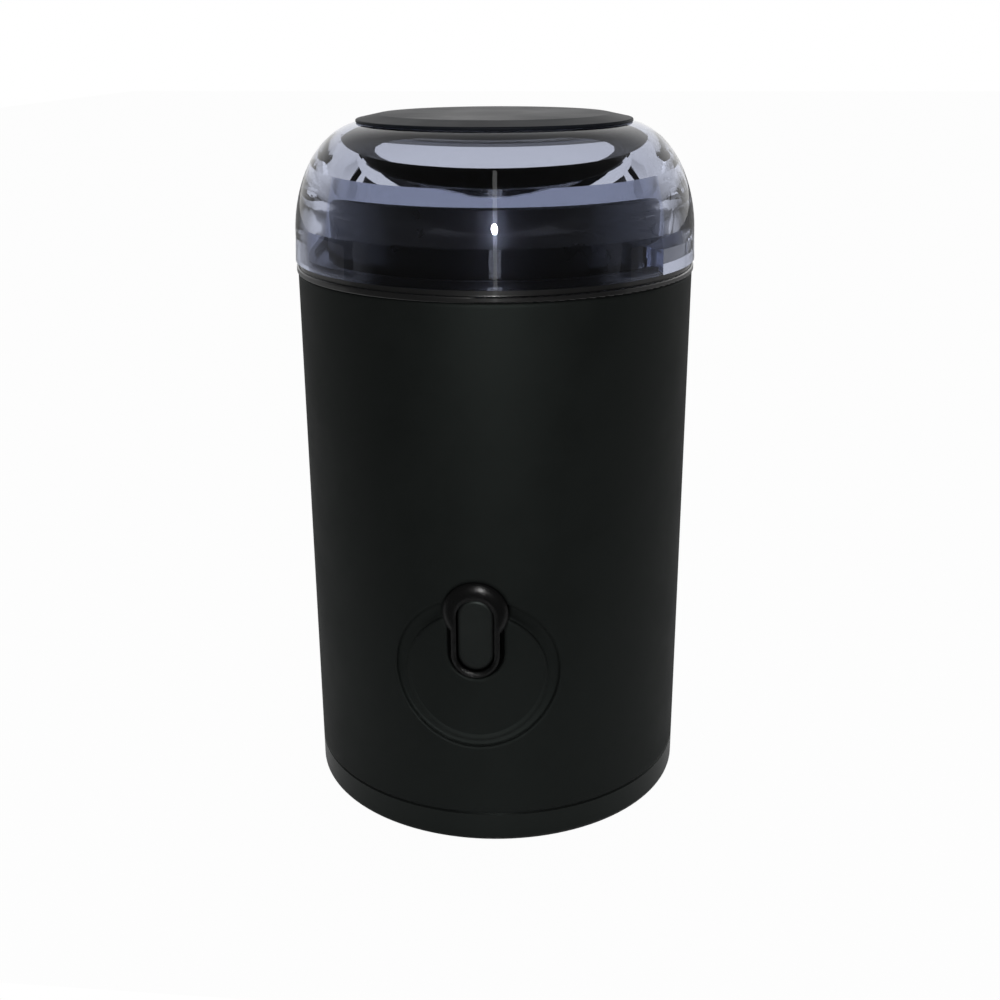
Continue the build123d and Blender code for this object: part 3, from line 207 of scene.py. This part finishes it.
# Enamelled copper wire laid in rows
def wound(name, colour, pitch):
    tree, shader = new_material(name)
    patch = noise(tree, scale=220.0)
    rows = bands(tree, pitch, "DIAGONAL", distortion=0.6)
    dress(tree, shader,
          colour=tones(tree, patch, colour, darker=0.7, lighter=1.1),
          rough=spread(tree, patch, low=0.24, high=0.4),
          normal=bump(tree, rows, strength=0.6, depth=0.0001))
    shader.inputs["Metallic"].default_value = 0.85
    shader.inputs["Coat Weight"].default_value = 0.4


# Clear moulding: faint handling haze and a slight lavender body tint
def clear(name, tint):
    tree, shader = new_material(name)
    haze = noise(tree, scale=55.0, detail=5.0, rough=0.65)
    ripple = noise(tree, scale=30.0, detail=1.0)
    dress(tree, shader,
          colour=tones(tree, haze, tint, darker=0.985, lighter=1.0),
          rough=spread(tree, haze, low=0.0, high=0.02, start=0.5, end=0.8),
          normal=bump(tree, ripple, strength=0.05, depth=0.00002))
    shader.inputs["Transmission Weight"].default_value = 1.0
    shader.inputs["IOR"].default_value = 1.49


# Second, smoother layer of gloss over a plastic
def polish(name, weight, rough):
    shader = looks[name].node_tree.nodes["Principled BSDF"]
    shader.inputs["Coat Weight"].default_value = weight
    shader.inputs["Coat Roughness"].default_value = rough


# Normal that the grain of a plastic is laid over
def under_grain(name):
    tree = looks[name].node_tree
    grain = tree.nodes["Principled BSDF"].inputs["Normal"].links[0].from_node
    return tree, grain.inputs["Normal"]


# Moulded edges: the shading turns round an edge over a small radius, under the grain
def soften_edges(name, radius):
    tree, normal = under_grain(name)
    rounded = add(tree, "ShaderNodeBevel", samples=6)
    rounded.inputs["Radius"].default_value = radius
    tree.links.new(rounded.outputs["Normal"], normal)


# Ring groove on the front: the shading lets its floor fall toward the disc inside it, over softened edges
def slope_groove(name, level, outer_radius, width, fall):
    tree, normal = under_grain(name)
    softened = normal.links[0].from_socket
    coords = add(tree, "ShaderNodeTexCoord")
    across = add(tree, "ShaderNodeVectorMath", operation="MULTIPLY_ADD")
    across.inputs[1].default_value = (1.0, 0.0, 1.0)
    across.inputs[2].default_value = (0.0, 0.0, -level)
    tree.links.new(coords.outputs["Object"], across.inputs[0])
    radius = add(tree, "ShaderNodeVectorMath", operation="LENGTH")
    tree.links.new(across.outputs["Vector"], radius.inputs[0])
    fallen = spread(tree, radius.outputs["Value"], -1.0, 0.0, outer_radius - width, outer_radius)
    axes = add(tree, "ShaderNodeSeparateXYZ")
    tree.links.new(coords.outputs["Object"], axes.inputs["Vector"])
    front = maths(tree, "LESS_THAN", axes.outputs["Y"], 0.0)
    height = maths(tree, "MULTIPLY", fallen, front)
    tree.links.new(bump(tree, height, 1.0, fall, softened), normal)


# Materials of the outside
cool_glint = (0.86, 1.0, 0.94)
plastic("shell_black", (0.0075, 0.0084, 0.0081), rough=0.55, swing=0.04, grain=3000.0, depth=0.000016,
        strength=0.35, specular=0.35, tint=cool_glint)
soften_edges("shell_black", radius=0.0012)
slope_groove("shell_black", level=0.0458, outer_radius=0.0191, width=0.0034, fall=0.0011)
plastic("base_black", (0.006, 0.0066, 0.0063), rough=0.23, swing=0.04, strength=0.2, tint=cool_glint)
plastic("button_black", (0.0105, 0.011, 0.011), rough=0.46, depth=0.000014, strength=0.3, specular=0.6,
        tint=cool_glint)
soften_edges("button_black", radius=0.001)
plastic("bezel_black", (0.0016, 0.0018, 0.0018), rough=0.24, swing=0.04, grain=900.0, depth=0.000004,
        strength=0.1, specular=0.6)
soften_edges("bezel_black", radius=0.002)
plastic("gloss_black", (0.003, 0.0032, 0.0033), rough=0.3, swing=0.03, grain=700.0, depth=0.000003,
        strength=0.1, specular=1.0)
polish("gloss_black", weight=0.6, rough=0.05)
clear("lid_clear", (0.45, 0.48, 0.59))
plastic("cap_black", (0.016, 0.0178, 0.0225), rough=0.42, grain=2400.0, depth=0.000014, strength=0.3,
        specular=0.1, tint=(0.8, 0.88, 1.0))
# Black of the ring under the cap plug, which paints the dark crescent in the lid's top: a painted reflection
plastic("painted_crescent_black", (0.004, 0.004, 0.0045), rough=0.18, grain=900.0, depth=0.000004, strength=0.1)
plastic("rubber_black", (0.012, 0.012, 0.012), rough=0.78, swing=0.06, grain=1800.0, depth=0.00003,
        strength=0.4, specular=0.3)

# Materials of the inside
metal("bowl_steel", (0.6, 0.6, 0.61), rough=0.24, swing=0.07, grain=2600.0, stretch=(0.05, 0.05, 1.0))
metal("bright_steel", (0.55, 0.55, 0.56), rough=0.22, swing=0.06, grain=1500.0, stretch=(1.0, 1.0, 0.15))
metal("cast_aluminium", (0.55, 0.56, 0.58), rough=0.45, swing=0.08, grain=1400.0, depth=0.00004, strength=0.4)
metal("bronze", (0.5, 0.33, 0.16), rough=0.4, swing=0.08, grain=4000.0, depth=0.00002, strength=0.4)
wound("copper", (0.55, 0.22, 0.1), pitch=0.0005)
sheets("lamination", (0.2, 0.2, 0.21), pitch=0.0005)
plastic("white_nylon", (0.72, 0.71, 0.66), rough=0.42, swing=0.06, grain=1500.0, strength=0.2)
plastic("switch_black", (0.02, 0.02, 0.021), rough=0.4, grain=2000.0)
plastic("carbon", (0.03, 0.03, 0.033), rough=0.5, swing=0.08, grain=5000.0, depth=0.00002, strength=0.4)

for item in nodes.values():
    for slot in item.material_slots:
        slot.material = looks[slot.material.name.split(".")[0]]
nodes["button_bezel"].material_slots[0].material = looks["bezel_black"]


# Coil springs with one end on a moving body: a copy of the solid's own shape, which stands in the part's
# place
def live_spring(name, node):
    made = bpy.data.objects.new(name, nodes[node].data.copy())
    scene.collection.objects.link(made)
    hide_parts(node)
    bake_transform(made)


live_spring("button_coil", "button_spring")
live_spring("interlock_coil", "interlock_spring")


# Flat ring about the object's axis, whose inner radius is a function of the turn
def flat_ring(name, inner, outer, low, high, steps=360):
    points = []
    faces = []
    for step in range(steps):
        turn = 2.0 * math.pi * step / steps
        corners = ((inner(turn), low), (outer, low), (outer, high), (inner(turn), high))
        points += [(radius * math.cos(turn), radius * math.sin(turn), level) for radius, level in corners]
        first, after = 4 * step, 4 * ((step + 1) % steps)
        faces += [(first + k, after + k, after + (k + 1) % 4, first + (k + 1) % 4) for k in range(4)]
    mesh = bpy.data.meshes.new(name)
    mesh.from_pydata(points, [], faces)
    made = bpy.data.objects.new(name, mesh)
    scene.collection.objects.link(made)
    return made


# Inner edge of the black ring: a circle, cut off toward the front by a wider arc about a point behind the
# axis. The arc is turned with the camera, so the ring reaches in on the camera's side, where it paints the
# dark crescent in the lid's top (painted reflection)
def painted_crescent_edge(turn):
    circle_radius, arc_radius, arc_back = 0.0222, 0.0305, 0.025
    rise = math.sin(turn - camera_turn)
    arc = math.sqrt(arc_radius ** 2 - arc_back ** 2 * (1.0 - rise ** 2)) + arc_back * rise
    return min(circle_radius, arc)


# Thin black ring under the cap plug, where adhesive that holds the cap in the lid's recess would lie. Its
# inner edge reaches in on the camera's side, where the ring paints the dark crescent in the lid's top: a
# painted reflection
painted_crescent_radius, painted_crescent_film = 0.0282, 0.00008
plug_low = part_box("lid_cap")[0][2]
painted_crescent = flat_ring("cap_painted_crescent", painted_crescent_edge, painted_crescent_radius, plug_low - painted_crescent_film, plug_low)
painted_crescent.data.materials.append(looks["painted_crescent_black"])
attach(painted_crescent, "lid")


# Rays that show the white backdrop: the camera's own, and those that only passed through the clear lid
def backdrop_rays(tree):
    paths = add(tree, "ShaderNodeLightPath")
    unreflected = maths(tree, "LESS_THAN", paths.outputs["Glossy Depth"], 0.5)
    through = maths(tree, "MULTIPLY", paths.outputs["Is Transmission Ray"], unreflected)
    return maths(tree, "MAXIMUM", paths.outputs["Is Camera Ray"], through)


# Floor: pale, keeps a faint shadow of the object
def pale_floor(name, white_share):
    tree, shader = new_material(name)
    patch = noise(tree, scale=3.0, detail=2.0)
    pale = two_colours(tree, patch, dark=(0.84, 0.84, 0.845), light=(0.87, 0.87, 0.875))
    tree.links.new(pale, shader.inputs["Base Color"])
    shader.inputs["Roughness"].default_value = 0.7
    white = add(tree, "ShaderNodeEmission")
    white.inputs["Strength"].default_value = 1.0
    blend = add(tree, "ShaderNodeMixShader")
    tree.links.new(maths(tree, "MULTIPLY", backdrop_rays(tree), white_share), blend.inputs["Fac"])
    tree.links.new(shader.outputs["BSDF"], blend.inputs[1])
    tree.links.new(white.outputs["Emission"], blend.inputs[2])
    tree.links.new(blend.outputs["Shader"], tree.nodes["Material Output"].inputs["Surface"])


pale_floor("floor_pale", white_share=0.975)
floor_side, floor_front, floor_back = 1.6, -0.105, 4.0
floor_corners = [(-floor_side, floor_front, 0.0), (floor_side, floor_front, 0.0),
                 (floor_side, floor_back, 0.0), (-floor_side, floor_back, 0.0)]
floor_mesh = bpy.data.meshes.new("floor")
floor_mesh.from_pydata(floor_corners, [], [(0, 1, 2, 3)])
floor = bpy.data.objects.new("floor", floor_mesh)
scene.collection.objects.link(floor)
floor.data.materials.append(looks["floor_pale"])


# Greys at places from 0 to 1, which take the place of the ramp's own two stops
def shades(tree, value, stops):
    ramp = add(tree, "ShaderNodeValToRGB")
    ramp.color_ramp.interpolation = "EASE"
    for place, shade in stops:
        stop = ramp.color_ramp.elements.new(place)
        stop.color = (shade, shade, shade, 1.0)
    ramp.color_ramp.elements.remove(ramp.color_ramp.elements[0])
    ramp.color_ramp.elements.remove(ramp.color_ramp.elements[-1])
    tree.links.new(value, ramp.inputs["Fac"])
    return ramp.outputs["Color"]


# World: white behind the object and a dim room in front of it, which the lid shows darker overhead
def studio_world():
    room_shades = [(0.001, 0.07), (0.4, 0.07), (0.6, 0.1), (0.8, 0.44), (0.999, 0.95)]
    lid_shades = [(0.001, 0.015), (0.3, 0.03), (0.42, 0.6), (0.54, 1.0), (0.999, 1.0)]
    world = bpy.data.worlds.new("studio")
    world.use_nodes = True
    sky = world.node_tree
    coords = add(sky, "ShaderNodeTexCoord")
    axes = add(sky, "ShaderNodeSeparateXYZ")
    sky.links.new(coords.outputs["Generated"], axes.inputs["Vector"])
    backward = spread(sky, axes.outputs["Y"], low=0.0, high=1.0, start=-1.0, end=1.0)
    overhead = spread(sky, axes.outputs["Z"], low=1.0, high=0.25, start=0.25, end=0.6)
    in_lid = maths(sky, "MULTIPLY", shades(sky, backward, lid_shades), overhead)
    paths = add(sky, "ShaderNodeLightPath")
    room = add(sky, "ShaderNodeMix", data_type="FLOAT")
    sky.links.new(paths.outputs["Is Transmission Ray"], room.inputs["Factor"])
    sky.links.new(shades(sky, backward, room_shades), room.inputs["A"])
    sky.links.new(in_lid, room.inputs["B"])
    back = sky.nodes["Background"]
    back.inputs["Color"].default_value = (1.0, 1.0, 1.0, 1.0)
    strength = maths(sky, "MAXIMUM", backdrop_rays(sky), room.outputs["Result"])
    sky.links.new(strength, back.inputs["Strength"])
    return world


scene.world = studio_world()


# Soft lamp that faces a target
def panel(name, place, target, width, height, watts, shape="RECTANGLE"):
    light = bpy.data.lights.new(name, "AREA")
    light.shape = shape
    light.size = width
    light.size_y = height
    light.energy = watts
    lamp = bpy.data.objects.new(name, light)
    scene.collection.objects.link(lamp)
    lamp.location = place
    lamp.rotation_euler = (Vector(target) - Vector(place)).to_track_quat("-Z", "Y").to_euler()
    return lamp


# A panel overhead, a tall strip and a small lamp in front, and a wider strip that works only through the lid
top_panel = panel("top_panel", (0.0, 0.3, 1.2), target=(0.0, 0.0, 0.1), width=0.8, height=0.8, watts=1.2)
top_panel.visible_glossy = False
strip_place, strip_target, strip_height = (0.105, -1.0, 0.6), (0.0, 0.0, 0.12), 1.7
panel("front_strip", strip_place, strip_target, width=0.045, height=strip_height, watts=0.36)
neck_strip = panel("neck_strip", strip_place, strip_target, width=0.16, height=strip_height, watts=2.8)
neck_strip.visible_glossy = False
neck_strip.visible_diffuse = False
panel("front_lamp", (0.051, -0.52, 0.262), target=(0.0, 0.0, 0.14), width=0.03, height=0.07, watts=0.9,
      shape="ELLIPSE")


# Camera at the photograph's viewing angle
def photo_camera():
    distance, height = 0.31612, 0.18544
    tilt, pan, roll = math.radians(19.811), math.radians(0.167), math.radians(-0.245)
    focal_pixels, photo_pixels, sensor = 1307.58, 1000.0, 36.0
    ahead = Vector((math.sin(pan) * math.cos(tilt), math.cos(pan) * math.cos(tilt), -math.sin(tilt)))
    right = Vector((math.cos(pan), -math.sin(pan), 0.0))
    above = right.cross(ahead)
    axis_x = right * math.cos(roll) + above * math.sin(roll)
    axis_y = above * math.cos(roll) - right * math.sin(roll)
    stand = Matrix((axis_x, axis_y, -ahead)).transposed().to_4x4()
    stand.translation = (0.0, -distance, height)
    eye = bpy.data.cameras.new("camera")
    eye.sensor_width = sensor
    eye.lens = focal_pixels * sensor / photo_pixels
    eye.clip_start = 0.01
    eye.clip_end = 50.0
    made = bpy.data.objects.new("camera", eye)
    scene.collection.objects.link(made)
    made.matrix_world = Matrix.Rotation(camera_turn, 4, "Z") @ stand
    return made


scene.camera = photo_camera()
scene.view_settings.view_transform = "Standard"

# The thick clear lid takes many bounces
scene.cycles.max_bounces = 32
scene.cycles.glossy_bounces = 16
scene.cycles.transmission_bounces = 24
